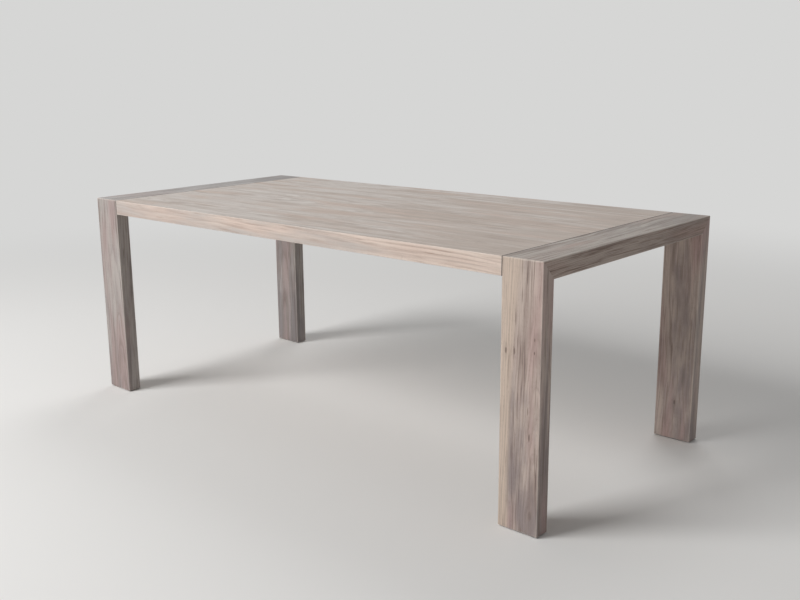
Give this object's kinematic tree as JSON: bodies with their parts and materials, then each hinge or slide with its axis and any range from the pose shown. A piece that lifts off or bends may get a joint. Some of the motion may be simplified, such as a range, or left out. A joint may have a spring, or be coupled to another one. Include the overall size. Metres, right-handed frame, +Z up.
{
  "type": "parsons dining table",
  "caption": "Rectangular dining table in limed hardwood: slab legs mitred to broad end rails, a flush boarded field between them and a deep flush edge.",
  "frame": {"origin": "on the floor, under the middle of the table", "axes": "+X along the table, +Y from front to back, +Z up"},
  "size_m": [2.032, 0.965, 0.762],
  "materials": {
    "frame_wood": "limed open-grain hardwood, matt, legs and end rails",
    "field_wood": "limed open-grain hardwood, matt, field boards and aprons",
    "under_wood": "planed hardwood, bare, cleats and battens",
    "joint_wood": "planed beech, bare, loose tenons, splines and dowels",
    "pad_nylon": "moulded nylon, dark brown, matt",
    "zinc_steel": "bright zinc plate",
    "black_steel": "black oxide, satin",
    "insert_brass": "turned brass"
  },
  "bodies": {
    "root": {"leg_front_left": "frame_wood", "leg_back_left": "frame_wood", "leg_front_right": "frame_wood", "leg_back_right": "frame_wood", "end_rail_left": "frame_wood", "end_rail_right": "frame_wood", "top_board_1": "field_wood", "top_board_2": "field_wood", "top_board_3": "field_wood", "top_board_4": "field_wood", "top_board_5": "field_wood", "top_board_6": "field_wood", "top_board_7": "field_wood", "top_board_8": "field_wood", "front_apron": "field_wood", "back_apron": "field_wood", "end_cleat_left": "under_wood", "end_cleat_right": "under_wood", "cross_batten_left": "under_wood", "cross_batten_middle": "under_wood", "cross_batten_right": "under_wood", "mitre_tenons_front_left": "joint_wood", "mitre_tenons_back_left": "joint_wood", "mitre_tenons_front_right": "joint_wood", "mitre_tenons_back_right": "joint_wood", "apron_dowels_front_left": "joint_wood", "apron_dowels_back_left": "joint_wood", "apron_dowels_front_right": "joint_wood", "apron_dowels_back_right": "joint_wood", "board_dowels": "joint_wood", "front_mitre_spline": "joint_wood", "back_mitre_spline": "joint_wood", "foot_pad_front_left": "pad_nylon", "foot_pad_back_left": "pad_nylon", "foot_pad_front_right": "pad_nylon", "foot_pad_back_right": "pad_nylon", "foot_screws_front_left": "zinc_steel", "foot_screws_back_left": "zinc_steel", "foot_screws_front_right": "zinc_steel", "foot_screws_back_right": "zinc_steel", "cleat_screws_left": "zinc_steel", "cleat_screws_right": "zinc_steel", "batten_screws_left": "zinc_steel", "batten_screws_middle": "zinc_steel", "batten_screws_right": "zinc_steel", "bolt_washers_left": "zinc_steel", "bolt_washers_right": "zinc_steel", "draw_bolts_left": "black_steel", "draw_bolts_right": "black_steel", "threaded_inserts_left": "insert_brass", "threaded_inserts_right": "insert_brass"}
  },
  "joints": []
}
